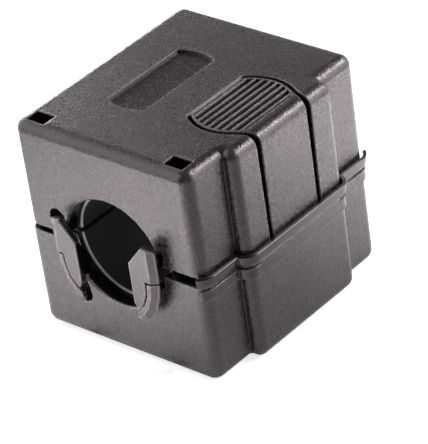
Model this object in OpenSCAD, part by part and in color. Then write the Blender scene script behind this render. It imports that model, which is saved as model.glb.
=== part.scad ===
/* [Case] */
// Width across the hinge side and the latch side, without the latch bulge
case_w = 32.5; // [28:0.5:45]
// Length along the cable
case_l = 37.7; // [32:0.1:48]
// Height of the lower half, from the table to the joint plane
lower_h = 17; // [15.5:0.1:24]
// Height of the upper half, from the joint plane to the top
upper_h = 17.7; // [16.2:0.1:25]
// Radius of the outer edges and corners
corner_r = 1.8; // [1:0.1:2.2]
// Thickness of the side walls
side_wall = 1.6; // [1.2:0.1:2]
// Thickness of the two end walls that the cable passes through
end_wall = 2.2; // [1.8:0.1:3]
// Thickness of the top and of the floor
plate_wall = 1.6; // [1.2:0.1:2]
// How much wider the lower half is on each side
lower_over = 0.25; // [0:0.05:0.5]
// Half of the gap between the case edges at the hinge side
gap_hinge = 0.42; // [0.3:0.02:0.6]
// Half of the gap between the case edges at the latch side
gap_latch = 0.86; // [0.5:0.02:1]

/* [Cable passage] */
// Radius of the bore through the ferrite
bore_r = 8.2; // [6:0.1:10]
// How much wider than the bore the openings in the end walls are
opening_over = 0.45; // [0.3:0.05:0.8]

/* [Ferrite core] */
// Least height of the ribs that carry the lower half core
core_seat = 0.35; // [0.2:0.05:1]
// Least room above the upper half core, for the travel of the latch
core_room = 1.05; // [0.95:0.05:1.5]
// Clearance between a half core and the side walls
core_side_gap = 0.45; // [0.2:0.05:1]
// Clearance between a half core and the end walls
core_end_gap = 0.3; // [0.2:0.05:0.6]
// Air gap between the two half cores
core_air = 0.1; // [0.04:0.02:0.2]
// Chamfer at the ends of the bore and along the joint
core_chamfer = 0.4; // [0.2:0.1:0.8]

/* [Latch] */
// Length of the bulge that houses the latch
bulge_l = 22.4; // [20:0.1:26]
// How far the bulge stands out from the latch side
bulge_out = 1.95; // [1.9:0.05:3]
// Distance from the latch side to the middle of the round thumb pad
pad_inset = 5.35; // [5:0.05:6.5]
// Radius of the thumb pad
pad_r = 7.35; // [6.5:0.05:8]
// Distance from the middle of the pad to its flexing root
pad_root = 5; // [4.5:0.1:5.5]
// Width of the tongue that runs down the side
tongue_w = 10.2; // [8:0.1:11]
// Width of the slots that set the latch free
slot_w = 0.72; // [0.5:0.02:0.9]
// Number of grip ribs on the pad
rib_count = 8; // [5:1:9]
// Depth of the pad floor below the top
pad_depth = 0.45; // [0.3:0.05:0.6]
// How far the hook reaches under its catch
hook_bite = 0.6; // [0.4:0.05:0.7]
// Clearance around the hook
hook_gap = 0.12; // [0.08:0.01:0.2]

/* [Rim] */
// Height of the rim above the joint plane
rim_up = 1.05; // [0.9:0.05:1.6]
// How far the rim stands out from the lower half
rim_out = 0.8; // [0.6:0.05:1.2]
// Gap between the rim and the upper half
rim_gap = 0.4; // [0.3:0.05:0.5]

/* [Claws] */
// How far the claws stand out from the end walls
claw_out = 2.5; // [2:0.1:3.5]
// Thickness of a claw's gripping plate
claw_plate = 1; // [0.8:0.1:1.4]
// Width of a claw from its gripping edge to its back
claw_w = 3.8; // [3.4:0.1:4.2]
// Clearance between an upper claw and a lower one
claw_gap = 0.25; // [0.2:0.05:0.4]
// Clearance between an upper claw and the lower half's wall
claw_back_gap = 0.3; // [0.2:0.05:0.6]

/* [Film hinge] */
// Thickness of the hinge film
film_t = 0.4; // [0.3:0.05:0.5]
// Distance from the hinge side to the fold axis
fold_out = 1.15; // [0.9:0.05:1.5]
// Length of each of the two hinge straps
strap_l = 10.5; // [8:0.5:11.5]
// Distance from an end of the case to the nearer strap
strap_inset = 2.2; // [2:0.1:3]

/* [Hidden] */
eps = 0.01;
hull_fn = 32;
round_fn = 96;
far = 60;
// How far a feature runs into the wall that carries it
sink = 0.2;

side_x = case_w / 2;
end_y = case_l / 2;
bulge_x = side_x + bulge_out;
bulge_y = bulge_l / 2;

opening_r = bore_r + opening_over;

core_w = case_w - 2 * (side_wall + core_side_gap);
core_l = case_l - 2 * (end_wall + core_end_gap);
core_top = min(lower_h - core_seat, upper_h - core_room) - plate_wall;
core_h = core_top - core_air / 2;
seat_rib_w = 1.2;
seat_rib_inset = 2;

// The latch bends about a line in the middle of the top plate's thickness
pad_x = side_x - pad_inset;
pivot_x = pad_x - pad_root;
pivot_z = upper_h - plate_wall / 2;
root_gap = 0.06;
pad_border = 0.5;
pad_edge_x = side_x - corner_r + 1.2;
rib_w = 0.36;
first_rib_x = pivot_x + 1;
last_rib_x = pad_edge_x - 0.5;

// The hook hangs inside the rim and bites under a catch on the rim's inside
skirt = 0.5;
skirt_gap = 0.4;
skirt_from_x = side_x - 1.1;
rim_from_x = side_x - corner_r;
rim_down = 1.2;
flare_down = 2.6;
shoulder_z = 0.6;
catch_top = 0.3;
catch_bottom = -0.7;
catch_bevel = [0.5, 0.45];
hook_flat = 0.5;
hook_lead = 0.7;
hook_end = catch_bottom - hook_gap - hook_flat - hook_lead;
neck_x = bulge_x - hook_bite - hook_gap;
catch_reach = tongue_w / 2 - 0.5;
pocket_floor = -flare_down;
pocket_bevel = 0.6;
pocket_x = [bulge_x - side_wall - 0.5, bulge_x + 0.15];

// Lugs near the joint plane hold each half core, under windows in the plates
lug_w = 3.1;
lug_x = side_x - side_wall - 0.4 - lug_w / 2;
lug_slack = 0.15;
lug_t = 0.8;
lug_z = 0.55;
lug_bite = 0.45;
window_w = 3.5;
window_l = 2.4;
window_x = lug_x + 0.05;
window_y = end_y - 2.55;
window_depth = plate_wall + 1;

// Shallow name plate recess, left bare
plate_x = -4.1;
plate_w = 6.85;
plate_l = 17.3;
plate_end_r = 7;
plate_depth = 0.35;

// Slanted relief slots beside the openings, behind the claws
relief_depth = 1.2;
relief_r = 1.45;
relief_top = [opening_r + 1.65, 3];
relief_low = [opening_r - 1.5, -opening_r - 0.35];

// Claw outlines. The upper claw ends above a seam, and the lower one hooks round its outside
claw_back_x = opening_r + 0.2;
grip_x = claw_back_x - claw_w;
seam_x = claw_back_x - 1;
foot_x = claw_back_x + 0.1;
seam_z = -0.85;
lower_seam_z = seam_z - claw_gap;
web_t = 1.15;
web_top_z = 4.1;
web_root_z = 1.2;
upper_claw = [
    [grip_x, 1.6], [grip_x, -6.4], [grip_x + 0.5, -7.9], [grip_x + 1.05, -7.6],
    [grip_x + 1.95, -5.8], [grip_x + 2.7, -3.2], [seam_x, seam_z], [claw_back_x, seam_z],
    [claw_back_x, web_top_z], [claw_back_x - 0.6, 4.6], [grip_x + 2.5, 4.5]
];
lower_claw = [
    [seam_x + claw_gap, lower_seam_z], [grip_x + 2.7 + claw_gap, -3.2],
    [grip_x + 1.95 + claw_gap, -5.9], [grip_x + 1.05 + claw_gap, -7.9],
    [grip_x + 0.7, -8.5], [grip_x + 1.2, -8.9], [grip_x + 2, -8.5], [grip_x + 3.2, -6.4],
    [foot_x, -3.6], [foot_x, lower_seam_z]
];
lower_web = [
    [foot_x - 0.85, -1.4], [foot_x - 0.95, -3.4], [foot_x - 1.65, -6],
    [foot_x - 1.2, -6.8], [foot_x, -3.6], [foot_x, -1.4]
];

function arc_points(c, r, a0, a1, n = 10) =
    [for (i = [0 : n]) let (a = a0 + (a1 - a0) * i / n) c + r * [cos(a), sin(a)]];

// Outline of a slot with round ends between the centres a and b
function slot_points(a, b, r) =
    let (lean = atan2(b[1] - a[1], b[0] - a[0]))
    concat(arc_points(a, r, lean + 90, lean + 270), arc_points(b, r, lean - 90, lean + 90));

// Block that is round on its upright edges and on the edges of its far face
module soft_block(x0, x1, y0, y1, h, r = corner_r) {
    hull()
        for (x = [x0 + r, x1 - r], y = [y0 + r, y1 - r])
            translate([x, y, 0]) {
                cylinder(r = r, h = eps, $fn = hull_fn);
                translate([0, 0, h - r]) sphere(r = r, $fn = hull_fn);
            }
}

module box(x0, x1, y0, y1, z0, z1) {
    translate([x0, y0, z0]) cube([x1 - x0, y1 - y0, z1 - z0]);
}

// Outline drawn in X and Z and pushed along Y from y0 to y1
module slab_y(points, y0, y1) {
    translate([0, y1, 0]) rotate([90, 0, 0]) linear_extrude(height = y1 - y0) polygon(points);
}

module rod_y(r, y0, y1) {
    translate([0, y1, 0]) rotate([90, 0, 0]) cylinder(r = r, h = y1 - y0, $fn = round_fn);
}

// Copies for the four quarters of the plan
module at_each_quarter() {
    for (sx = [0, 1], sy = [0, 1]) mirror([sx, 0, 0]) mirror([0, sy, 0]) children();
}

// Outer form of a half case, open side down at z = 0
module half_form(h, over) {
    soft_block(-side_x - over, side_x + over, -end_y, end_y, h);
    soft_block(0, bulge_x + over, -bulge_y, bulge_y, h);
}

// Room for the half core and for the latch
module half_hollow(h, over) {
    top = h - plate_wall;
    room_x = side_x + over - side_wall;
    box(-room_x, room_x, -end_y + end_wall, end_y - end_wall, -1, top);
    box(0, bulge_x + over - side_wall, -bulge_y + side_wall, bulge_y - side_wall, -1, top);
}

// The lugs that hold a half core
module core_lugs() {
    at_each_quarter()
        box(lug_x - lug_w / 2, lug_x + lug_w / 2, -end_y + end_wall - sink,
            -end_y + end_wall + core_end_gap + lug_bite, lug_z, lug_z + lug_t);
}

// The windows through the plate, above the front pair of lugs
module lug_windows(h) {
    for (sx = [0, 1]) mirror([sx, 0, 0])
        box(window_x - window_w / 2, window_x + window_w / 2, -window_y - window_l / 2,
            -window_y + window_l / 2, h - window_depth, h + 1);
}

// Low ribs that carry the half core clear of the plate
module core_ribs(h) {
    x0 = -core_w / 2 + seat_rib_inset;
    x1 = pivot_x - seat_rib_inset;
    for (y = [-core_l / 3, 0, core_l / 3])
        box(x0, x1, y - seat_rib_w / 2, y + seat_rib_w / 2, core_top, h - plate_wall + sink);
}

module relief_slots() {
    at_each_quarter()
        slab_y(slot_points(relief_top, relief_low, relief_r), -end_y - 1, -end_y + relief_depth);
}

// Outline of the thumb pad and the tongue, grown by a clearance
module latch_plan(grow) {
    translate([pad_x, 0]) circle(r = pad_r + grow, $fn = round_fn);
    translate([pad_x, -tongue_w / 2 - grow]) square([far, tongue_w + 2 * grow]);
}

// Everything on the latch's side of its rounded root
module latch_side(root_r) {
    box(pivot_x, far, -far, far, -far, far);
    translate([pivot_x, 0, pivot_z]) rod_y(root_r, -far, far);
}

module latch_zone(grow, root_r, z0) {
    intersection() {
        translate([0, 0, z0]) linear_extrude(height = far) latch_plan(grow);
        latch_side(root_r);
    }
}

module name_plate() {
    linear_extrude(height = 2)
        intersection() {
            translate([-plate_w / 2, -plate_l / 2]) square([plate_w, plate_l]);
            union() {
                for (s = [-1, 1])
                    translate([0, s * (plate_l / 2 - plate_end_r)]) circle(r = plate_end_r, $fn = round_fn);
                square([plate_w, plate_l - plate_end_r], center = true);
            }
        }
}

module upper_claws() {
    web_x = claw_back_x - web_t;
    front_y = -end_y - claw_out;
    back_y = -end_y - claw_back_gap;
    at_each_quarter() {
        slab_y(upper_claw, front_y, front_y + claw_plate);
        box(web_x, claw_back_x, front_y + sink, back_y, seam_z, web_top_z);
        box(web_x, claw_back_x, back_y - sink, -end_y + relief_depth + sink, web_root_z, web_top_z);
    }
}

module lower_claws() {
    front_y = -end_y - claw_out;
    at_each_quarter() {
        slab_y(lower_claw, front_y, front_y + claw_plate);
        slab_y(lower_web, front_y + sink, -end_y + relief_depth + sink);
    }
}

// The parting gap, wider towards the latch
module edge_wedge(x_end) {
    slope = (gap_latch - gap_hinge) / case_w;
    slab_y([[-far, -far], [-far, gap_hinge - slope * (far - side_x)],
            [x_end, gap_hinge + slope * (x_end + side_x)], [x_end, -far]], -far, far);
}

module upper_case() {
    color([0.24, 0.23, 0.235]) {
        difference() {
            translate([0, 0, -skirt]) half_form(upper_h + skirt, 0);
            half_hollow(upper_h, 0);
            edge_wedge(skirt_from_x);
            rod_y(opening_r, -far, far);
            relief_slots();
            lug_windows(upper_h);
            translate([plate_x, 0, upper_h - plate_depth]) name_plate();
            latch_zone(slot_w, plate_wall / 2 + root_gap, -2);
        }
        core_lugs();
        core_ribs(upper_h);
        upper_claws();
    }
}

module latch_hook() {
    top = catch_bottom - hook_gap;
    slab_y([[bulge_x - side_wall, shoulder_z + sink], [bulge_x - side_wall, hook_end],
            [bulge_x - hook_lead, hook_end], [bulge_x, hook_end + hook_lead], [bulge_x, top],
            [neck_x, top], [neck_x, shoulder_z + sink]], -tongue_w / 2, tongue_w / 2);
}

module grip_ribs() {
    pitch = (last_rib_x - first_rib_x) / (rib_count - 1);
    for (i = [0 : rib_count - 1])
        translate([first_rib_x + pitch * i, 0, 0])
            box(-rib_w / 2, rib_w / 2, -far, far, upper_h - pad_depth - sink, upper_h);
}

module latch() {
    color([0.26, 0.25, 0.255]) {
        difference() {
            intersection() {
                difference() {
                    half_form(upper_h, 0);
                    half_hollow(upper_h, 0);
                }
                latch_zone(0, plate_wall / 2, shoulder_z);
            }
            difference() {
                translate([pad_x, 0, upper_h - pad_depth])
                    cylinder(r = pad_r - pad_border, h = 1, $fn = round_fn);
                box(-far, pivot_x + pad_border, -far, far, -far, far);
                grip_ribs();
                box(pad_edge_x, far, -far, far, -far, far);
            }
        }
        latch_hook();
    }
}

// Plan-shaped ring around the latch side, from z0 to z1
module rim_band(out, x_min, z0, z1) {
    intersection() {
        translate([0, 0, z0]) linear_extrude(height = z1 - z0) {
            offset(r = out, $fn = hull_fn) soft_plan(side_x, end_y);
            offset(r = out, $fn = hull_fn) soft_plan(bulge_x, bulge_y);
        }
        box(x_min, far, -far, far, -far, far);
    }
}

module soft_plan(x1, y1) {
    offset(r = corner_r, $fn = hull_fn)
        translate([0, -y1 + corner_r]) square([x1 - corner_r, 2 * (y1 - corner_r)]);
}

// Plan of the latch side, round at its corners
// Slope below the rim, back to the lower half's wall
module rim_flare() {
    intersection() {
        union()
            for (half = [[side_x, end_y], [bulge_x, bulge_y]])
                hull() {
                    translate([0, 0, -rim_down]) linear_extrude(height = eps)
                        offset(r = lower_over + rim_out, $fn = hull_fn) soft_plan(half[0], half[1]);
                    translate([0, 0, -flare_down]) linear_extrude(height = eps)
                        offset(r = lower_over, $fn = hull_fn) soft_plan(half[0], half[1] - lower_over);
                }
        box(rim_from_x, far, -far, far, -far, far);
    }
}

// Room for the hook to hang and to swing inwards
module hook_pocket() {
    reach = tongue_w / 2 + slot_w;
    top = rim_up + 1;
    slab_y([[pocket_x[0], top], [pocket_x[0], pocket_floor], [pocket_x[1] - pocket_bevel, pocket_floor],
            [pocket_x[1], pocket_floor + pocket_bevel], [pocket_x[1], top]], -reach, reach);
}

// The catch is bevelled where the hook slides over it
module hook_catch() {
    x0 = bulge_x - hook_bite;
    x1 = bulge_x + rim_gap + sink;
    slab_y([[x0, catch_bottom], [x0, catch_top - catch_bevel[1]], [x0 + catch_bevel[0], catch_top],
            [x1, catch_top], [x1, catch_bottom]], -catch_reach, catch_reach);
}

module lower_case() {
    color([0.22, 0.21, 0.215]) {
        difference() {
            union() {
                difference() {
                    mirror([0, 0, 1]) half_form(lower_h, lower_over);
                    mirror([0, 0, 1]) edge_wedge(skirt_from_x);
                    box(skirt_from_x - 0.2, far, -far, far, -skirt - skirt_gap, far);
                }
                rim_band(lower_over + rim_out, rim_from_x, -rim_down, rim_up);
                rim_flare();
            }
            mirror([0, 0, 1]) half_hollow(lower_h, lower_over);
            rim_band(rim_gap, 0, -skirt - skirt_gap, far);
            hook_pocket();
            rod_y(opening_r, -far, far);
            relief_slots();
            mirror([0, 0, 1]) lug_windows(lower_h);
        }
        mirror([0, 0, 1]) core_lugs();
        mirror([0, 0, 1]) core_ribs(lower_h);
        hook_catch();
        lower_claws();
    }
}

module half_core() {
    difference() {
        box(-core_w / 2, core_w / 2, -core_l / 2, core_l / 2, core_air / 2, core_air / 2 + core_h);
        rod_y(bore_r, -far, far);
        for (s = [0, 1]) mirror([0, s, 0])
            translate([0, -core_l / 2, 0]) rotate([-90, 0, 0])
                cylinder(r1 = bore_r + core_chamfer, r2 = bore_r, h = core_chamfer, $fn = round_fn);
        at_each_quarter()
            box(lug_x - lug_w / 2 - lug_slack, far, -far, -core_l / 2 + lug_bite + lug_slack,
                -1, lug_z + lug_t + lug_slack);
    }
}

module lower_core() {
    color([0.2, 0.2, 0.21]) mirror([0, 0, 1]) half_core();
}

module upper_core() {
    color([0.2, 0.2, 0.21]) half_core();
}

// Two straps, each a thin half loop from wall to wall around the fold axis
module film_hinge() {
    outer = fold_out + film_t / 2;
    color([0.24, 0.23, 0.235])
        for (sy = [0, 1]) mirror([0, sy, 0])
            intersection() {
                translate([-side_x, 0, 0]) difference() {
                    rod_y(outer, -end_y + strap_inset, -end_y + strap_inset + strap_l);
                    rod_y(outer - film_t, -far, far);
                }
                union() {
                    box(-far, -side_x, -far, far, 0, far);
                    box(-far, -side_x - lower_over, -far, far, -far, eps);
                }
            }
}

lower_case();
upper_case();
latch();
film_hinge();
lower_core();
upper_core();
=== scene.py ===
"""Looks of a clip-on ferrite bead: a hinged plastic case with a spring latch around two ferrite cores.

Each piece but the film hinge is a distance field in millimetres, turned into a mesh whose edges are all
slightly rounded, as on the real thing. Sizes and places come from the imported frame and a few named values.
X runs across the case with the latch on +X, Y along the cable, and Z up from the joint plane.
"""

import math

import bpy
import numpy as np
from mathutils import Matrix, Vector


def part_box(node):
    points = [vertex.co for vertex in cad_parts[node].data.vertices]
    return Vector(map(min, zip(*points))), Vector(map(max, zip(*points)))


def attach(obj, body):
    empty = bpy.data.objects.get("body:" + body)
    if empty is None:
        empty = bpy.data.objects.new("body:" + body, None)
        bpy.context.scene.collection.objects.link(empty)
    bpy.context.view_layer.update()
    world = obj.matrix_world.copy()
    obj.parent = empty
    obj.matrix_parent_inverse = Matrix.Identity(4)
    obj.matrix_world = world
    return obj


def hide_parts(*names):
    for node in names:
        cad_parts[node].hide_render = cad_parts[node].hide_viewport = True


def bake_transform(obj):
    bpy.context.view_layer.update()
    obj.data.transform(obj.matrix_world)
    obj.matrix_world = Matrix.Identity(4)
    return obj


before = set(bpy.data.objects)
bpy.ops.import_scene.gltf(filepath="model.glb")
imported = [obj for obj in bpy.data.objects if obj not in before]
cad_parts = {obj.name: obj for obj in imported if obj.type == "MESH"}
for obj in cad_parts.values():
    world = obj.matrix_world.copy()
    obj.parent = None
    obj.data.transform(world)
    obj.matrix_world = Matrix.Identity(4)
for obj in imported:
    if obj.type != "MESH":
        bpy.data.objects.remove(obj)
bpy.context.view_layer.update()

MM = 0.001


def box_mm(node):
    """Lowest and highest corner of a CAD node, in millimetres."""
    lo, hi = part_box(node)
    return lo / MM, hi / MM


# ---------------------------------------------------------------- sizes, in millimetres

upper_lo, upper_hi = box_mm("upper_case")
lower_lo, lower_hi = box_mm("lower_case")
core_lo, core_hi = box_mm("upper_core")

# Roundings of edges
CRISP_R = 0.05
FINE_R = 0.1
SOFT_R = 0.15
SLOT_EDGE_R = 0.16
PARTING_EDGE_R = 0.2
FULL_R = 0.3

# Case: the lower half stands out past the upper one by LOWER_OVER, and the claws past the ends by CLAW_OUT
SIDE_X = -upper_lo.x
BULGE_X = upper_hi.x
TOP_Z = box_mm("latch")[1].z
BASE_Z = lower_lo.z
LOWER_OVER = -lower_lo.x - SIDE_X
CLAW_OUT = 2.5
END_Y = upper_hi.y - CLAW_OUT
BULGE_Y = 11.2
CORNER_R = 1.9
BULGE_R = 1.5
NOTCH_R = 0.06
EDGE_R = 1.76
SIDE_WALL = 1.6
END_WALL = 2.2
PLATE_WALL = 1.6
HOLLOW_R = 0.4
OPENING_R = 8.65

# Parting gap, as half gaps that widen towards the latch, and the skirt of the upper half inside the rim
GAP_HINGE = 0.42
GAP_LATCH = 0.78
SKIRT_X = SIDE_X - 1.1
SKIRT_LOW = -0.5
SKIRT_GAP = 0.2

# Rim of the lower half: a tapered band, a step below it, and a groove between them near the corners
RIM_OUT = lower_hi.x - BULGE_X - LOWER_OVER
RIM_TOP = 1.05
RIM_TOP_R = 0.22
RIM_LOW = -0.95
RIM_LOW_R = 0.8
RIM_TAPER = 0.15
RIM_FROM_X = SIDE_X - 0.65
RIM_FLOOR = -0.9
RIM_ROOM = 0.4
RIM_ROOM_R = 0.12
STEP_OUT = 0.32
STEP_LOW = -3.05
STEP_LAP = 0.3
STEP_R = 0.16
GROOVE_DEPTH = 0.35
GROOVE_BELOW = 0.3
GROOVE_ABOVE = 0.1
GROOVE_FROM_Y = 8.8
GROOVE_RAMP = 1.2

# Slots behind the claws: upper centre, lower centre and radius
LONG_RELIEF = ((OPENING_R + 1.65, 3), (OPENING_R - 1.3, -9), 1.45)
SHORT_RELIEF = ((OPENING_R + 0.2, 2.9), (OPENING_R - 0.3, -2.6), 0.6)
RELIEF_DEPTH = 1.9

# Windows over the front lugs, and the lugs and ribs that hold the cores, as X spans and then Y spans
WINDOW = (11, 14.5, -17.5, -15.1)
LUG = (11.15, 14.25, 15.9, 17)
LUG_Z = (0.55, 1.35)
CORE_RIB_X = (-12.2, 3.9)
CORE_RIB_Y = 12.57
CORE_RIB_HALF = 0.6
CORE_RIB_SUNK = 0.2
PAST_PLATE = 1

# Recess on top, with round ends about two centres
RECESS_X = -4.1
RECESS_SHIFT_Y = 1.65
RECESS_END_R = 7
RECESS_SIDES = (-7.53, -0.68)
RECESS_DEPTH = 0.45
RECESS_SKIN = 0.12

# Cores
BORE_R = 8.2
CORE_CORNER_R = 0.5
CORE_EDGE_R = 0.04
CORE_CHAMFER = 0.28
REBATE_OUT = 0.9
REBATE_UP = 0.33

# Latch: a pad on top, a tongue down the side, and the slots around both, wider beside the tongue's top
PAD_X = SIDE_X - 5.35
PAD_R = 7.35
PAD_SLOT = 0.62
PAD_MARGIN = 0.35
ROOT_X = PAD_X - 5
ROOT_GAP = 0.08
TONGUE_HALF = 5.1
TONGUE_LOW = 0.6
NECK_R = 1.6
SIDE_SLOT_LOW = 0.72
SIDE_SLOT_HIGH = 1.0
SIDE_SLOT_FROM = 4
SLOT_NECK_R = 0.9

# Ribs on the pad, with valleys between them
RIB_COUNT = 8
RIB_FIRST = 1
RIB_PITCH = 8.25 / (RIB_COUNT - 1)
RIB_HALF = 0.19
VALLEY_DEPTH = 0.9
VALLEY_FROM_ROOT = 0.5
VALLEY_FROM_SIDE = 0.6

# Hook of the latch, its pocket, and the catch inside the rim, as outlines in X and Z
HOOK = [(16.6, 0.8), (16.6, -2.0), (17.5, -2.0), (18.2, -1.3), (18.2, -0.82), (17.48, -0.82), (17.48, 0.8)]
POCKET = [(16.1, 2.05), (16.1, -2.6), (17.75, -2.6), (18.35, -2), (18.35, 2.05)]
CATCH = [(17.6, -0.7), (17.6, -0.15), (18.1, 0.3), (18.8, 0.3), (18.8, -0.7)]
CATCH_INSET = 0.5

# Claws, as outlines in X and Z: the upper one ends above a seam, and the lower one hooks round its outside
CLAW_X = 9.75
CLAW_CURVE = [(9.4, -3.5), (8.5, -5.95), (7.3, -7.6), (6.2, -8.5)]
CLAW_BACK = [(-5, 20), (CLAW_X, 20), (CLAW_X, -1), *CLAW_CURVE, (-5, -10)]
UPPER_CLAW = [
    (5.0, 1.6), (5.0, -4.9), (5.35, -5.8), (5.55, -6.1), (5.8, -5.95), (6.85, -4.75),
    (7.5, -3.0), (7.7, -0.85), (CLAW_X, -0.85), (CLAW_X, 4.2), (8.7, 4.75), (7.75, 4.85),
]
LOWER_CLAW = [
    (7.92, -1.12), (7.72, -3.1), (7.05, -4.9), (5.95, -6.2), (5.55, -6.45), (5.25, -6.9),
    (5.2, -7.9), (5.5, -8.5), *reversed(CLAW_CURVE), (CLAW_X, -1.1),
]
UPPER_WEB = [(7.5, -0.85), (8.3, -0.85), (8.3, 2.6), (7.5, 1.7)]
UPPER_ROOT = [(8.0, 0.8), (8.9, 0.8), (8.9, 2.8), (8.0, 2.5)]
LOWER_WEB = [(7.8, -1.4), (7.65, -3.4), (6.95, -6), (7.3, -6.8), (8.4, -3.6), (8.4, -1.4)]
CLAW_FRONT = END_Y + CLAW_OUT
CLAW_PLATE = 1.0
CLAW_CHAMFER = 1.15
CLAW_CHAMFER_SLOPE = 0.65
CLAW_CHAMFER_R = 0.08

# Webs behind the claws and roots in the end walls, along Y
WEB_BACK = 0.5
WEB_FROM = 0.3
WEB_R = 0.12
ROOT_OUT = 0.9
IN_END_WALL = 2.1

# Film hinge straps
FOLD_R = 1.15
FOLD_POINTS = 37
FILM_T = 0.39
FILM_EDGE_R = 0.15
FILM_EDGE_POINTS = 5
FILM_LEAD = (0.3, 0.15)
STRAP_Y = (END_Y - 12.7, END_Y - 2.2)


# ---------------------------------------------------------------- distance fields
# A field is negative inside. Fields of X and Y alone take arrays that broadcast, so a grid costs little.


def both(a, b, r=SOFT_R):
    """Where two fields overlap, with the outer edge between them rounded to r."""
    u, v = np.maximum(a + r, 0), np.maximum(b + r, 0)
    return np.minimum(np.maximum(a, b), -r) + np.sqrt(u * u + v * v)


def either(a, b, r=SOFT_R):
    """Two fields joined, with the inner corner between them filled to r."""
    return -both(-a, -b, r)


def cut(a, b, r=SOFT_R):
    """Field a without b, with the edge between them rounded to r."""
    return both(a, -b, r)


def slab(a, lo, hi):
    """The layer where a is between lo and hi."""
    return np.maximum(lo - a, a - hi)


def rect(u, v, u0, u1, v0, v1, r):
    """Rectangle with corners of radius r."""
    a = np.abs(u - (u0 + u1) / 2) - (u1 - u0) / 2 + r
    b = np.abs(v - (v0 + v1) / 2) - (v1 - v0) / 2 + r
    return np.sqrt(np.maximum(a, 0) ** 2 + np.maximum(b, 0) ** 2) + np.minimum(np.maximum(a, b), 0) - r


def circle(u, v, cu, cv, r):
    """Disc of radius r about a centre."""
    return np.sqrt((u - cu) ** 2 + (v - cv) ** 2) - r


def from_segment(u, v, a, b):
    """Offsets of each point from the nearest point of the segment a to b."""
    du, dv = b[0] - a[0], b[1] - a[1]
    t = np.clip(((u - a[0]) * du + (v - a[1]) * dv) / (du * du + dv * dv), 0, 1)
    return u - a[0] - t * du, v - a[1] - t * dv


def stadium(u, v, a, b, r):
    """Slot with round ends between the centres a and b."""
    off_u, off_v = from_segment(u, v, a, b)
    return np.sqrt(off_u**2 + off_v**2) - r


def polygon(u, v, points):
    """Outline through the points."""
    p = np.array(points, float)
    u, v = np.broadcast_arrays(u, v)
    nearest = np.full(u.shape, np.inf)
    inside = np.zeros(u.shape, bool)
    for a, b in zip(p, np.roll(p, -1, 0)):
        off_u, off_v = from_segment(u, v, a, b)
        nearest = np.minimum(nearest, off_u**2 + off_v**2)
        du, dv = b - a
        crosses = (a[1] > v) != (b[1] > v)
        at = a[0] + (v - a[1]) * du / (dv or 1)
        inside ^= crosses & (u < at)
    return np.where(inside, -1, 1) * np.sqrt(nearest)


def plan(x, y, over=0.0):
    """Plan of the case: a rounded rectangle with the bulge that houses the latch."""
    main = rect(x, y, -SIDE_X - over, SIDE_X + over, -END_Y, END_Y, CORNER_R)
    bulge = rect(x, y, 0, BULGE_X + over, -BULGE_Y, BULGE_Y, BULGE_R)
    return either(main, bulge, NOTCH_R)


def parting(x):
    """Half of the gap between the case edges at x."""
    return GAP_HINGE + (GAP_LATCH - GAP_HINGE) * (x + SIDE_X) / (2 * SIDE_X)


def hollow(x, y, over=0.0):
    """Plan of the room inside the walls."""
    room = SIDE_X + over - SIDE_WALL
    main = rect(x, y, -room, room, -END_Y + END_WALL, END_Y - END_WALL, HOLLOW_R)
    bulge_x = BULGE_X + over - SIDE_WALL
    bulge = rect(x, y, 0, bulge_x, -BULGE_Y + SIDE_WALL, BULGE_Y - SIDE_WALL, HOLLOW_R)
    return np.minimum(main, bulge)


def opening(x, z):
    """Round opening in the end walls."""
    return circle(x, z, 0, 0, OPENING_R)


def relief(x, y, z):
    """Slanted slots beside the openings, behind the claws."""
    slots = np.minimum(stadium(-x, z, *LONG_RELIEF), stadium(x, z, *SHORT_RELIEF))
    return np.maximum(slots, END_Y - RELIEF_DEPTH - np.abs(y))


def windows(x, y, depth):
    """Windows through a plate over the front lugs, where depth is the distance below its face."""
    return np.maximum(rect(np.abs(x), y, *WINDOW, SOFT_R), depth - PLATE_WALL - PAST_PLATE)


def core_lugs(x, y, z):
    """Small lugs that hold a ferrite half core, at height z from the joint plane."""
    return np.maximum(rect(np.abs(x), np.abs(y), *LUG, FINE_R), slab(z, *LUG_Z))


def core_ribs(x, y, depth):
    """Low ribs between the core and the plate."""
    rib = np.minimum(np.abs(y) - CORE_RIB_HALF, np.abs(np.abs(y) - CORE_RIB_Y) - CORE_RIB_HALF)
    rib = np.maximum(rib, slab(x, *CORE_RIB_X))
    return np.maximum(rib, slab(depth, PLATE_WALL - CORE_RIB_SUNK, PLATE_WALL + PAST_PLATE))


def recess(x, y):
    """Plan of the shallow recess on top, with straight sides and round ends."""
    front = circle(x, y, RECESS_X, RECESS_SHIFT_Y, RECESS_END_R)
    back = circle(x, y, RECESS_X, -RECESS_SHIFT_Y, RECESS_END_R)
    middle = slab(y, -RECESS_SHIFT_Y, RECESS_SHIFT_Y) + 0 * x
    return both(np.minimum(np.minimum(front, back), middle), slab(x, *RECESS_SIDES), FINE_R)


def latch_opening(x, y, z):
    """Room for the latch in the upper half: round its pad, and beside its tongue."""
    slot = SIDE_SLOT_LOW + (SIDE_SLOT_HIGH - SIDE_SLOT_LOW) * np.clip(z / TOP_Z, 0, 1)
    wide = np.maximum(np.abs(y) - TONGUE_HALF - slot, PAD_X + SIDE_SLOT_FROM - x)
    zone = either(circle(x, y, PAD_X, 0, PAD_R + PAD_SLOT), wide, SLOT_NECK_R)
    return np.maximum(zone, ROOT_X - x)


def upper_outside(x, y, z):
    return both(plan(x, y), z - TOP_Z, EDGE_R)


def upper_skin(x, y, z):
    """The outside, lowered towards the recess's floor, so that the floor keeps more of its grain."""
    return upper_outside(x, y, z) + np.where(recess(x, y) < 0, RECESS_SKIN, 0)


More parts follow.
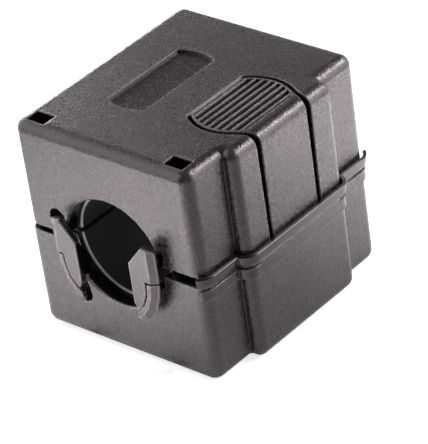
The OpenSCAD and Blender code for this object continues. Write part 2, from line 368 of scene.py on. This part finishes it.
def upper_case(x, y, z):
    f = upper_outside(x, y, z)
    foot = np.minimum(parting(x) - z, np.maximum(SKIRT_X - x, SKIRT_LOW - z))
    f = both(f, foot, PARTING_EDGE_R)
    f = cut(f, np.maximum(hollow(x, y), z - TOP_Z + PLATE_WALL))
    f = cut(f, opening(x, z), FULL_R)
    f = cut(f, relief(x, y, z))
    f = cut(f, windows(x, y, TOP_Z - z), FINE_R)
    f = np.minimum(f, core_lugs(x, y, z))
    f = np.minimum(f, core_ribs(x, y, TOP_Z - z))
    f = cut(f, np.maximum(recess(x, y), TOP_Z - RECESS_DEPTH - z), FINE_R)
    return cut(f, latch_opening(x, y, z), SLOT_EDGE_R)


def lower_outside(x, y, z):
    return both(plan(x, y, LOWER_OVER), BASE_Z - z, EDGE_R)


def rim(x, y, z):
    """Rim of the lower half: a band that leans out towards the top, over a step that is less wide."""
    wall = plan(x, y)
    taper = RIM_TAPER * (RIM_TOP - z)
    band = both(wall - LOWER_OVER - RIM_OUT + taper, RIM_LOW - z, RIM_LOW_R)
    band = both(band, z - RIM_TOP, RIM_TOP_R)
    step = both(wall - LOWER_OVER - STEP_OUT, slab(z, STEP_LOW, RIM_LOW + STEP_LAP), STEP_R)
    return both(either(band, step, CRISP_R), RIM_FROM_X - x, FULL_R)


def rim_groove(x, y, z):
    """Groove under the rim's band, which fades out away from the corners."""
    deep = GROOVE_DEPTH * np.clip((np.abs(y) - GROOVE_FROM_Y) / GROOVE_RAMP, 0, 1)
    layer = slab(z, RIM_LOW - GROOVE_BELOW, RIM_LOW + GROOVE_ABOVE)
    return np.maximum(layer, LOWER_OVER + STEP_OUT - deep - plan(x, y))


def rim_room(x, y, z):
    """Room inside the rim, on the latch side, for the skirt of the upper half."""
    return np.maximum(plan(x, y) - RIM_ROOM, np.maximum(RIM_FLOOR - z, -x))


def lower_case(x, y, z):
    f = lower_outside(x, y, z)
    edge = np.maximum(z + parting(x), np.minimum(x - SKIRT_X + SKIRT_GAP, z - RIM_FLOOR))
    f = both(f, edge, PARTING_EDGE_R)
    f = either(f, rim(x, y, z), CRISP_R)
    f = cut(f, rim_groove(x, y, z), CRISP_R)
    f = cut(f, rim_room(x, y, z), RIM_ROOM_R)
    f = cut(f, np.maximum(hollow(x, y, LOWER_OVER), BASE_Z + PLATE_WALL - z))
    f = cut(f, opening(x, z), FULL_R)
    f = cut(f, relief(x, y, z))
    f = cut(f, windows(x, y, z - BASE_Z), FINE_R)
    f = cut(f, np.maximum(polygon(x, z, POCKET), np.abs(y) - TONGUE_HALF - SIDE_SLOT_LOW), FINE_R)
    f = np.minimum(f, both(polygon(x, z, CATCH), np.abs(y) - TONGUE_HALF + CATCH_INSET, FINE_R))
    f = np.minimum(f, core_lugs(x, y, -z))
    return np.minimum(f, core_ribs(x, y, z - BASE_Z))


def pad_valleys(x, y, z):
    """Valleys between the ribs of the pad."""
    nth = np.clip(np.round((x - ROOT_X - RIB_FIRST) / RIB_PITCH), 0, RIB_COUNT - 1)
    rib = np.abs(x - ROOT_X - RIB_FIRST - nth * RIB_PITCH) - RIB_HALF
    ribbed = slab(x, ROOT_X + VALLEY_FROM_ROOT, SIDE_X - VALLEY_FROM_SIDE)
    ribbed = np.maximum(circle(x, y, PAD_X, 0, PAD_R - PAD_MARGIN), ribbed)
    return np.maximum(cut(ribbed, rib, CRISP_R), TOP_Z - VALLEY_DEPTH - z)


def latch(x, y, z):
    f = upper_outside(x, y, z)
    f = cut(f, np.maximum(hollow(x, y), z - TOP_Z + PLATE_WALL))
    tongue = np.maximum(np.abs(y) - TONGUE_HALF, PAD_X - x)
    outline = either(circle(x, y, PAD_X, 0, PAD_R), tongue, NECK_R)
    f = both(f, np.maximum(outline, ROOT_X + ROOT_GAP - x), SLOT_EDGE_R)
    f = both(f, TONGUE_LOW - z)
    f = either(f, both(polygon(x, z, HOOK), np.abs(y) - TONGUE_HALF, FINE_R))
    return cut(f, pad_valleys(x, y, z), CRISP_R)


def upper_core(x, y, z):
    """Half core with the bore's ends chamfered, and a small rebate beside the bore at the joint."""
    outside = rect(x, y, core_lo.x, core_hi.x, core_lo.y, core_hi.y, CORE_CORNER_R)
    block = both(outside, slab(z, core_lo.z, core_hi.z), FULL_R)
    from_axis = np.sqrt(x * x + z * z)
    mouth = (BORE_R + CORE_CHAMFER - from_axis - core_hi.y + np.abs(y)) / math.sqrt(2)
    rebate = np.minimum(BORE_R + REBATE_OUT - np.abs(x), core_lo.z + REBATE_UP - z)
    return both(block, np.maximum(BORE_R - from_axis, np.maximum(mouth, rebate)), CORE_EDGE_R)


def lower_core(x, y, z):
    return upper_core(x, y, -z)


def claw_chamfer(x, y, z):
    """Wide chamfer along the back edge of a claw."""
    past = CLAW_CHAMFER + polygon(np.abs(x), z, CLAW_BACK)
    return (np.abs(y) - CLAW_FRONT + CLAW_CHAMFER_SLOPE * past) / math.hypot(1, CLAW_CHAMFER_SLOPE)


def claw_skin(x, y, z):
    """Front face and chamfer of the claws, where they are grained."""
    return np.maximum(np.abs(y) - CLAW_FRONT, claw_chamfer(x, y, z))


def claw_plate(x, y, z, outline):
    """The part of a claw that shows, with its chamfer."""
    plate = both(polygon(x, z, outline), slab(y, CLAW_FRONT - CLAW_PLATE, CLAW_FRONT))
    return both(plate, claw_chamfer(x, y, z), CLAW_CHAMFER_R)


def clear_of_opening(piece, x, y, z):
    """A claw's root or web, kept out of the cable's opening through the end wall."""
    return cut(piece, np.maximum(opening(x, z), y - END_Y - FINE_R), CRISP_R)


def upper_claws(x, y, z):
    x, y = np.abs(x), np.abs(y)
    web = both(polygon(x, z, UPPER_WEB), slab(y, END_Y + WEB_FROM, CLAW_FRONT - WEB_BACK), FINE_R)
    root = both(polygon(x, z, UPPER_ROOT), slab(y, END_Y - IN_END_WALL, END_Y + ROOT_OUT), FINE_R)
    behind = np.minimum(web, clear_of_opening(root, x, y, z))
    return either(claw_plate(x, y, z, UPPER_CLAW), behind, WEB_R)


def lower_claws(x, y, z):
    x, y = np.abs(x), np.abs(y)
    web = both(polygon(x, z, LOWER_WEB), slab(y, END_Y - IN_END_WALL, CLAW_FRONT - WEB_BACK), FINE_R)
    behind = clear_of_opening(web, x, y, z)
    return either(claw_plate(x, y, z, LOWER_CLAW), behind, WEB_R)


# ---------------------------------------------------------------- meshes

NORMAL_STEP = 0.02
SETTLE_STEP = 0.1
SETTLE_ROUNDS = 2

# Bend of the surface, measured over BEND_STEP, where wear starts and how much more bend makes it full
BEND_STEP = 0.25
WEAR_FROM = 0.25
WEAR_OVER = 0.5

# Depth below the skin where the grain starts to fade, and how much deeper it has gone
GRAIN_DEPTH = 0.1
GRAIN_FADE = 0.6


def ticks(*spans):
    """Grid lines from (start, stop, spacing) spans that follow each other."""
    lines = [np.arange(a, b - step / 3, step) for a, b, step in spans]
    return np.concatenate([*lines, [spans[-1][1]]])


def crossings(f, lines, axis):
    """Lower ends of the grid edges along an axis that the surface crosses, and where it crosses them."""
    step = np.eye(3, dtype=int)[axis]
    lower = tuple(slice(0, n - s) for n, s in zip(f.shape, step))
    upper = tuple(slice(s, None) for s in step)
    inside = f < 0
    at = np.argwhere(inside[lower] != inside[upper])
    a, b = f[tuple(at.T)], f[tuple((at + step).T)]
    t = (a / (a - b))[:, None]
    start = np.stack([lines[k][at[:, k]] for k in range(3)], 1)
    stop = np.stack([lines[k][(at + step)[:, k]] for k in range(3)], 1)
    return at, start + t * (stop - start)


def surface(field, xs, ys, zs):
    """Vertices and quads of a field's surface, one vertex in each grid cell that the surface crosses.

    Each crossed grid edge gives a quad through the four cells around it. Each cell's vertex is the mean of
    the points on its edges.
    """
    f = field(xs[:, None, None], ys[None, :, None], zs[None, None, :]).astype(np.float32)
    cells = np.array(f.shape) - 1
    stride = np.array([cells[1] * cells[2], cells[2], 1])
    cell_of, point_of, quads = [], [], []
    for axis in range(3):
        at, point = crossings(f, (xs, ys, zs), axis)
        side, other = [k for k in range(3) if k != axis]
        ring = []
        for ds, do in ((1, 1), (0, 1), (0, 0), (1, 0)):
            cell = at.copy()
            cell[:, side] -= ds
            cell[:, other] -= do
            ring.append(cell @ stride)
        cell_of += ring
        point_of += [point] * len(ring)
        ring = np.stack(ring, 1)
        flip = (f[tuple(at.T)] < 0) == (axis == 1)
        ring[flip] = ring[flip][:, ::-1]
        quads.append(ring)
    ids, where = np.unique(np.concatenate(cell_of), return_inverse=True)
    count = np.bincount(where)
    points = np.concatenate(point_of)
    vertices = np.stack([np.bincount(where, points[:, k]) / count for k in range(3)], 1)
    return vertices, np.searchsorted(ids, np.concatenate(quads))


def steps(size):
    """A step of a size along each axis."""
    return np.eye(3) * size


def normals(field, v):
    """The field's direction of steepest rise at each point."""
    rise = np.stack([field(*(v + step).T) - field(*(v - step).T) for step in steps(NORMAL_STEP)], 1)
    return rise / np.maximum(np.linalg.norm(rise, axis=1, keepdims=True), 1e-9)


def wear(field, v):
    """From 0 on flat and hollow surfaces to 1 along narrow outer edges."""
    bend = -6 * field(*v.T)
    for step in steps(BEND_STEP):
        bend = bend + field(*(v + step).T) + field(*(v - step).T)
    return (bend / BEND_STEP - WEAR_FROM) / WEAR_OVER


def settle(field, v):
    """Moves each point onto the field's surface, by at most a short step each round."""
    for _ in range(SETTLE_ROUNDS):
        away = np.clip(field(*v.T), -SETTLE_STEP, SETTLE_STEP)
        v = v - away[:, None] * normals(field, v)
    return v


def new_object(name, vertices, faces, material):
    """Object with smooth shading, from vertices in millimetres."""
    mesh = bpy.data.meshes.new(name)
    mesh.from_pydata((np.asarray(vertices) * MM).tolist(), [], faces)
    mesh.validate()
    obj = bpy.data.objects.new(name, mesh)
    bpy.context.scene.collection.objects.link(obj)
    mesh.materials.append(material)
    mesh.shade_smooth()
    return obj


def thinned(obj, keep):
    """Thins the mesh where it is flat, to a share keep of its triangles."""
    thin = obj.modifiers.new("thin", "DECIMATE")
    thin.ratio = keep
    dg = bpy.context.evaluated_depsgraph_get()
    mesh = bpy.data.meshes.new_from_object(obj.evaluated_get(dg))
    obj.modifiers.clear()
    obj.data = mesh


def in_quarters(vertices, quads):
    """Adds the mirror images in X and Y."""
    for flip in ((-1, 1, 1), (1, -1, 1)):
        quads = np.concatenate([quads, quads[:, ::-1] + len(vertices)])
        vertices = np.concatenate([vertices, vertices * flip])
    return vertices, quads


def add_attribute(obj, name, values):
    layer = obj.data.attributes.new(name, "FLOAT", "POINT")
    layer.data.foreach_set("value", np.clip(values, 0, 1).astype(np.float32))


def moulded(name, field, grid, material, keep, quarters=False, skin=None):
    """Mesh of a field, thinned to a share keep of its triangles, with the field's own normals.

    Only what lies on the skin field is grained, and the rest of the piece is smooth.
    """
    vertices, quads = surface(field, *grid)
    if quarters:
        vertices, quads = in_quarters(vertices, quads)
    obj = new_object(name, settle(field, vertices), quads.tolist(), material)
    thinned(obj, keep)
    mesh = obj.data
    co = np.zeros(len(mesh.vertices) * 3)
    mesh.vertices.foreach_get("co", co)
    v = settle(field, co.reshape(-1, 3) / MM)
    mesh.vertices.foreach_set("co", (v * MM).ravel())
    mesh.shade_smooth()
    mesh.normals_split_custom_set_from_vertices(normals(field, v).tolist())
    add_attribute(obj, "edge", wear(field, v))
    if skin:
        add_attribute(obj, "smooth", (np.abs(skin(*v.T)) - GRAIN_DEPTH) / GRAIN_FADE)
    return obj


# ---------------------------------------------------------------- materials

PLASTIC_TINT = (1, 0.9, 0.94, 1)
PLASTIC_DARK = (0.004, 0.0035, 0.004, 1)
PLASTIC_LIGHT = (0.042, 0.036, 0.038, 1)
FERRITE_DARK = (0.045, 0.044, 0.046, 1)
FERRITE_LIGHT = (0.09, 0.088, 0.092, 1)
# Near-white colour painted on the cores' bore chamfers as a highlight
FERRITE_PAINTED_HIGHLIGHT = (0.9, 0.9, 0.92, 1)

# Forms of noise in a metre
GRAIN_SCALE = 3000.0
CLOUD_SCALE = 140.0
PORE_SCALE = 5200.0


def node(tree, kind, **inputs):
    """New node with numbers or colours set on its inputs, where an underscore stands for a space."""
    n = tree.nodes.new(kind)
    for key, value in inputs.items():
        n.inputs[key.replace("_", " ")].default_value = value
    return n


def math_node(tree, operation, *values):
    """Output of a Math node, where each value is a number or another output."""
    n = tree.nodes.new("ShaderNodeMath")
    n.operation = operation
    for socket, value in zip(n.inputs, values):
        if isinstance(value, (int, float)):
            socket.default_value = value
        else:
            tree.links.new(value, socket)
    return n.outputs[0]


def noise(tree, place, scale, detail, roughness):
    """Noise at a place, from 0 to 1."""
    n = node(tree, "ShaderNodeTexNoise", Scale=scale, Detail=detail, Roughness=roughness)
    tree.links.new(place, n.inputs["Vector"])
    return n.outputs["Fac"]


def map_range(tree, value, **limits):
    """A value moved from one range to another."""
    n = node(tree, "ShaderNodeMapRange", **limits)
    tree.links.new(value, n.inputs["Value"])
    return n.outputs["Result"]


def colour_ramp(tree, value, *stops):
    """Colour for a value, between two (position, colour) stops."""
    n = tree.nodes.new("ShaderNodeValToRGB")
    for element, (position, colour) in zip(n.color_ramp.elements, stops):
        element.position = position
        element.color = colour
    tree.links.new(value, n.inputs["Fac"])
    return n.outputs["Color"]


def colour_mix(tree, share, colour, other):
    """The colour, with a share of it replaced by another."""
    n = tree.nodes.new("ShaderNodeMix")
    n.data_type = "RGBA"
    tree.links.new(share, n.inputs[0])
    tree.links.new(colour, n.inputs[6])
    n.inputs[7].default_value = other
    return n.outputs[2]


def attribute(tree, name):
    """A value stored on the mesh."""
    n = tree.nodes.new("ShaderNodeAttribute")
    n.attribute_name = name
    return n.outputs["Fac"]


def new_material(name):
    """A material, its node tree, its shader, and an output that gives the place on the object."""
    m = bpy.data.materials.new(name)
    m.use_nodes = True
    tree = m.node_tree
    place = tree.nodes.new("ShaderNodeTexCoord").outputs["Object"]
    return m, tree, tree.nodes["Principled BSDF"], place


def add_bump(tree, shader, height, depth):
    """Relief on the shader's surface. Returns the socket of its strength."""
    bump = node(tree, "ShaderNodeBump", Distance=depth)
    tree.links.new(height, bump.inputs["Height"])
    tree.links.new(bump.outputs["Normal"], shader.inputs["Normal"])
    return bump.inputs["Strength"]


def plastic(name, roughest, relief_depth, rubbed_grey):
    """Black nylon with a fine spark-eroded grain, lighter where edges have rubbed."""
    m, t, shader, place = new_material(name)
    shader.inputs["IOR"].default_value = 1.5
    shader.inputs["Specular IOR Level"].default_value = 1.0
    shader.inputs["Specular Tint"].default_value = PLASTIC_TINT
    grain = noise(t, place, GRAIN_SCALE, detail=2.0, roughness=0.6)
    cloud = noise(t, place, CLOUD_SCALE, detail=3.0, roughness=0.5)
    smooth = attribute(t, "smooth")
    grained = math_node(t, "SUBTRACT", 1.0, smooth)

    # Colour is speckled by the grain, darker where the plastic is smooth, and greyer where it is rubbed
    speckle = math_node(t, "MULTIPLY_ADD", cloud, 0.25, math_node(t, "MULTIPLY", grain, 0.75))
    speckle = math_node(t, "MULTIPLY_ADD", smooth, -0.25, speckle)
    colour = colour_ramp(t, speckle, (0.36, PLASTIC_DARK), (0.66, PLASTIC_LIGHT))
    rubbed = math_node(t, "MULTIPLY", attribute(t, "edge"), math_node(t, "ADD", cloud, 0.1))
    rubbed = math_node(t, "MULTIPLY", rubbed, grained)
    grey = (rubbed_grey, 0.9 * rubbed_grey, 0.93 * rubbed_grey, 1)
    t.links.new(colour_mix(t, rubbed, colour, grey), shader.inputs["Base Color"])

    # Roughness follows the grain, and is halved where the plastic is smooth
    rough = map_range(t, grain, From_Min=0.3, From_Max=0.7, To_Min=roughest / 2, To_Max=roughest)
    share = math_node(t, "MULTIPLY_ADD", grained, 0.5, 0.5)
    t.links.new(math_node(t, "MULTIPLY", rough, share), shader.inputs["Roughness"])

    # Relief of the grain, weaker where the plastic is smooth
    strength = add_bump(t, shader, grain, relief_depth)
    t.links.new(math_node(t, "MULTIPLY_ADD", grained, 0.7, 0.3), strength)
    return m


def ferrite():
    """Sintered ferrite: dense with fine pores, with a near-white highlight painted on the chamfer round each
    end of the bore.
    """
    m, t, shader, place = new_material("sintered_ferrite")
    pores = noise(t, place, PORE_SCALE, detail=3.0, roughness=0.6)
    colour = colour_ramp(t, pores, (0.0, FERRITE_DARK), (1.0, FERRITE_LIGHT))

    # The chamfer is what lies close to both the bore and an end, and it is painted near white as a highlight
    split = t.nodes.new("ShaderNodeSeparateXYZ")
    t.links.new(place, split.inputs[0])
    x, y, z = split.outputs
    squares = math_node(t, "ADD", math_node(t, "MULTIPLY", x, x), math_node(t, "MULTIPLY", z, z))
    near_bore = math_node(t, "LESS_THAN", squares, ((BORE_R + CORE_CHAMFER) * MM) ** 2)
    at_end = math_node(t, "GREATER_THAN", math_node(t, "ABSOLUTE", y), (core_hi.y - CORE_CHAMFER) * MM)
    painted_highlight = math_node(t, "MULTIPLY", near_bore, at_end)
    t.links.new(colour_mix(t, painted_highlight, colour, FERRITE_PAINTED_HIGHLIGHT), shader.inputs["Base Color"])

    t.links.new(map_range(t, pores, To_Min=0.3, To_Max=0.5), shader.inputs["Roughness"])
    add_bump(t, shader, pores, 0.00002).default_value = 0.35
    return m


NYLON = plastic("black_nylon", roughest=0.38, relief_depth=0.00007, rubbed_grey=0.2)
SMOOTH_NYLON = plastic("smooth_black_nylon", roughest=0.3, relief_depth=0.00003, rubbed_grey=0.3)
FERRITE = ferrite()


# ---------------------------------------------------------------- pieces
# The grids are finer where a piece has edges and small forms.


def make_case():
    xs = ticks(
        (-17, -13.5, 0.16), (-13.5, -7.8, 0.24), (-7.8, -0.4, 0.14), (-0.4, 13.5, 0.24), (13.5, 19.6, 0.13)
    )
    ys = ticks((-20.2, -14.5, 0.14), (-14.5, 14.5, 0.22), (14.5, 20.2, 0.14))
    above = ticks((-0.9, 2, 0.14), (2, 15.4, 0.24), (15.4, 18, 0.11))
    below = ticks((-17.4, -15, 0.14), (-15, -3.2, 0.24), (-3.2, 1.5, 0.1))
    top = moulded("upper_case_shell", upper_case, (xs, ys, above), NYLON, 0.45, skin=upper_skin)
    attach(top, "lid")
    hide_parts("upper_case")
    bottom = moulded("lower_case_shell", lower_case, (xs, ys, below), NYLON, 0.4, skin=lower_outside)
    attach(bottom, "base")
    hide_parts("lower_case")


def make_latch():
    xs = ticks((ROOT_X - 0.1, 15.8, 0.07), (15.8, 18.5, 0.1))
    ys = ticks((-7.6, 7.6, 0.12))
    zs = ticks((-2.3, 1, 0.12), (1, 15.3, 0.24), (15.3, 17, 0.12), (17, 17.9, 0.06))
    piece = moulded("latch_tongue", latch, (xs, ys, zs), NYLON, 0.5, skin=upper_outside)
    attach(piece, "latch")
    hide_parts("latch")


def make_claws():
    fine = 0.07
    xs = ticks((4.8, 10, fine))
    ys = ticks((16.5, 21.5, fine))
    for name, field, body, (low, high) in (
        ("upper_claws", upper_claws, "lid", (-7, 5.1)),
        ("lower_claws", lower_claws, "base", (-9.1, -0.9)),
    ):
        grid = (xs, ys, ticks((low, high, fine)))
        piece = moulded(name, field, grid, SMOOTH_NYLON, 0.5, quarters=True, skin=claw_skin)
        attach(piece, body)


def strap_section():
    """Cross-section of a strap, as (Y, height) points of a rectangle with rounded corners."""
    y0, y1 = STRAP_Y
    r = FILM_EDGE_R
    points = []
    for cy, cz, start in ((y1 - r, 1, 0), (y0 + r, 1, 90), (y0 + r, -1, 180), (y1 - r, -1, 270)):
        for a in np.radians(start + np.linspace(0, 90, FILM_EDGE_POINTS)):
            points.append((cy + r * math.cos(a), cz * (FILM_T / 2 - r) + r * math.sin(a)))
    return points


def make_film_hinge():
    """Two straps, each a thin half loop from wall to wall around the fold."""
    turn = np.linspace(-math.pi / 2, math.pi / 2, FOLD_POINTS)
    path = [(lead, -FOLD_R) for lead in FILM_LEAD]
    path += [(-FOLD_R * math.cos(a), FOLD_R * math.sin(a)) for a in turn]
    path += [(lead, FOLD_R) for lead in reversed(FILM_LEAD)]
    angles = np.radians([0, 0, *np.linspace(0, 180, FOLD_POINTS), 180, 180])
    section = strap_section()
    n = len(section)
    vertices, faces = [], []
    for side in (1, -1):
        first = len(vertices)
        for (px, pz), a in zip(path, angles):
            for y, t in section:
                vertices.append((-SIDE_X + px - t * math.sin(a), side * y, pz - t * math.cos(a)))
        last = len(vertices) - n
        strap = []
        for ring in range(first, last, n):
            for j in range(n):
                k = (j + 1) % n
                strap.append([ring + j, ring + k, ring + n + k, ring + n + j])
        strap += [[first + j for j in range(n)][::-1], [last + j for j in range(n)]]
        faces += strap if side > 0 else [face[::-1] for face in strap]
    straps = new_object("film_hinge_straps", vertices, faces, NYLON)
    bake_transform(straps)
    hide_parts("film_hinge")


def make_cores():
    bore = ((-8.9, -7.6, 0.1), (-7.6, 7.6, 0.2), (7.6, 8.9, 0.1))
    xs = ticks((core_lo.x - 0.2, -8.9, 0.3), *bore, (8.9, core_hi.x + 0.3, 0.3))
    front, back = core_lo.y + 0.8, core_hi.y - 0.8
    ys = ticks((core_lo.y - 0.2, front, 0.08), (front, back, 0.5), (back, core_hi.y + 0.2, 0.08))
    zs = ticks((core_lo.z - 0.1, 0.6, 0.07), (0.6, core_hi.z + 0.2, 0.2))
    for name, field, body, heights in (
        ("upper_core", upper_core, "lid", zs),
        ("lower_core", lower_core, "base", -zs[::-1]),
    ):
        core = moulded(name + "_block", field, (xs, ys, heights), FERRITE, 0.5)
        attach(core, body)
        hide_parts(name)


# ---------------------------------------------------------------- camera, floor and light
# Sizes here are in metres and the focal length in millimetres. The camera's angles are in radians, and the
# lamps' angles in degrees.

VIEW_AZIMUTH = 0.7666
VIEW_ELEVATION = 0.5641
VIEW_ROLL = -0.1465
VIEW_DISTANCE = 0.43444
VIEW_AIM = Vector((0, 0, -0.001))
VIEW_RIGHT = 0.002108
VIEW_DOWN = 0.003696
FOCAL_LENGTH = 242.5

FLOOR_HALF = 3.0
FLOOR_COLOUR = (0.8, 0.8, 0.8, 1)
FLOOR_SEEN = 0.75
FLOOR_MIRRORED = 0.12
WORLD_LEVEL = 0.06
WORLD_SEEN = 0.94
WORLD_MIRRORED = 0.06

SOFTBOX_AWAY = 0.7
FLOOR_LAMP_UP = 0.4
FLOOR_LAMP_R = 0.03


def make_camera():
    """Camera at three quarters, from the latch side and above, with a long lens and a slight roll."""
    azimuth, elevation = VIEW_AZIMUTH, VIEW_ELEVATION
    back_x = math.sin(azimuth) * math.cos(elevation)
    back_y = -math.cos(azimuth) * math.cos(elevation)
    back = Vector((back_x, back_y, math.sin(elevation)))
    right = (-back).cross(Vector((0, 0, 1))).normalized()
    up = right.cross(-back)
    turned = right * math.cos(VIEW_ROLL) + up * math.sin(VIEW_ROLL)
    upright = up * math.cos(VIEW_ROLL) - right * math.sin(VIEW_ROLL)
    data = bpy.data.cameras.new("camera")
    data.lens = FOCAL_LENGTH
    data.clip_start = 0.01
    data.clip_end = 20
    cam = bpy.data.objects.new("camera", data)
    place = VIEW_AIM + back * VIEW_DISTANCE + turned * VIEW_RIGHT - upright * VIEW_DOWN
    facing = Matrix((turned, upright, back)).transposed().to_4x4()
    cam.matrix_world = Matrix.Translation(place) @ facing
    bpy.context.scene.collection.objects.link(cam)
    bpy.context.scene.camera = cam


def ray_level(tree, plain, seen, mirrored):
    """A plain level of light, plus what the camera, reflections and transmission see on top of it."""
    path = tree.nodes.new("ShaderNodeLightPath")
    level = math_node(tree, "MULTIPLY_ADD", path.outputs["Is Camera Ray"], seen, plain)
    level = math_node(tree, "MULTIPLY_ADD", path.outputs["Is Glossy Ray"], mirrored, level)
    return math_node(tree, "MULTIPLY_ADD", path.outputs["Is Transmission Ray"], mirrored, level)


def make_stage():
    """White floor that keeps the object's shadow."""
    half = FLOOR_HALF
    z = BASE_Z * MM
    corners = [(-half, -half, z), (half, -half, z), (half, half, z), (-half, half, z)]
    mesh = bpy.data.meshes.new("floor")
    mesh.from_pydata(corners, [], [(0, 1, 2, 3)])
    floor = bpy.data.objects.new("floor", mesh)
    bpy.context.scene.collection.objects.link(floor)
    m = bpy.data.materials.new("white_floor")
    m.use_nodes = True
    t = m.node_tree
    t.nodes.remove(t.nodes["Principled BSDF"])
    paper = node(t, "ShaderNodeBsdfDiffuse", Color=FLOOR_COLOUR)
    glow = node(t, "ShaderNodeEmission", Color=(1, 1, 1, 1))
    t.links.new(ray_level(t, 0.0, FLOOR_SEEN, FLOOR_MIRRORED), glow.inputs["Strength"])
    add = t.nodes.new("ShaderNodeAddShader")
    t.links.new(paper.outputs[0], add.inputs[0])
    t.links.new(glow.outputs[0], add.inputs[1])
    t.links.new(add.outputs[0], t.nodes["Material Output"].inputs["Surface"])
    mesh.materials.append(m)


def add_lamp(name, data, place, aim, in_reflections=True):
    lamp = bpy.data.objects.new(name, data)
    lamp.location = place
    lamp.rotation_euler = (Vector(aim) - Vector(place)).to_track_quat("-Z", "Y").to_euler()
    lamp.visible_camera = False
    lamp.visible_glossy = in_reflections
    bpy.context.scene.collection.objects.link(lamp)


def softbox(name, azimuth, elevation, size, watts):
    """Softbox that faces the object, with its azimuth counted from +X towards +Y."""
    data = bpy.data.lights.new(name, "AREA")
    data.shape = "RECTANGLE"
    data.size, data.size_y = size
    data.energy = watts
    a, e = math.radians(azimuth), math.radians(elevation)
    level = SOFTBOX_AWAY * math.cos(e)
    place = (level * math.cos(a), level * math.sin(a), SOFTBOX_AWAY * math.sin(e))
    add_lamp(name, data, place, (0, 0, 0))


def floor_light(name, x, y, radius, watts):
    """Soft round light straight down onto the floor beside the object, kept out of reflections."""
    data = bpy.data.lights.new(name, "SPOT")
    data.energy = watts
    data.spot_size = 2 * math.atan(radius / FLOOR_LAMP_UP)
    data.spot_blend = 1.0
    data.shadow_soft_size = FLOOR_LAMP_R
    add_lamp(name, data, (x, y, FLOOR_LAMP_UP), (x, y, 0), in_reflections=False)


def make_light():
    world = bpy.data.worlds.new("studio")
    bpy.context.scene.world = world
    world.use_nodes = True
    t = world.node_tree
    sky = t.nodes["Background"]
    sky.inputs["Color"].default_value = (1, 1, 1, 1)
    t.links.new(ray_level(t, WORLD_LEVEL, WORLD_SEEN, WORLD_MIRRORED), sky.inputs["Strength"])
    softbox("right_back", 52, 20, (1.0, 0.6), 4.4)
    softbox("left", 206, 24, (1.2, 0.8), 4)
    softbox("left_back", 150, 8, (0.3, 0.15), 1.6)
    softbox("low_left_back", 132, 14, (0.5, 0.2), 0.2)
    softbox("high_right_back", 50, 38, (0.24, 0.14), 1.7)
    floor_light("floor_left", -0.045, -0.062, 0.05, 15)
    floor_light("floor_near", -0.018, -0.044, 0.032, 15)
    floor_light("floor_front", -0.002, -0.062, 0.03, 16)
    floor_light("floor_back", 0.015, 0.05, 0.031, 28)
    floor_light("floor_right_back", 0.072, 0.062, 0.045, 30)


make_camera()
make_case()
make_latch()
make_claws()
make_film_hinge()
make_cores()
make_stage()
make_light()
bpy.context.scene.view_settings.view_transform = "Standard"
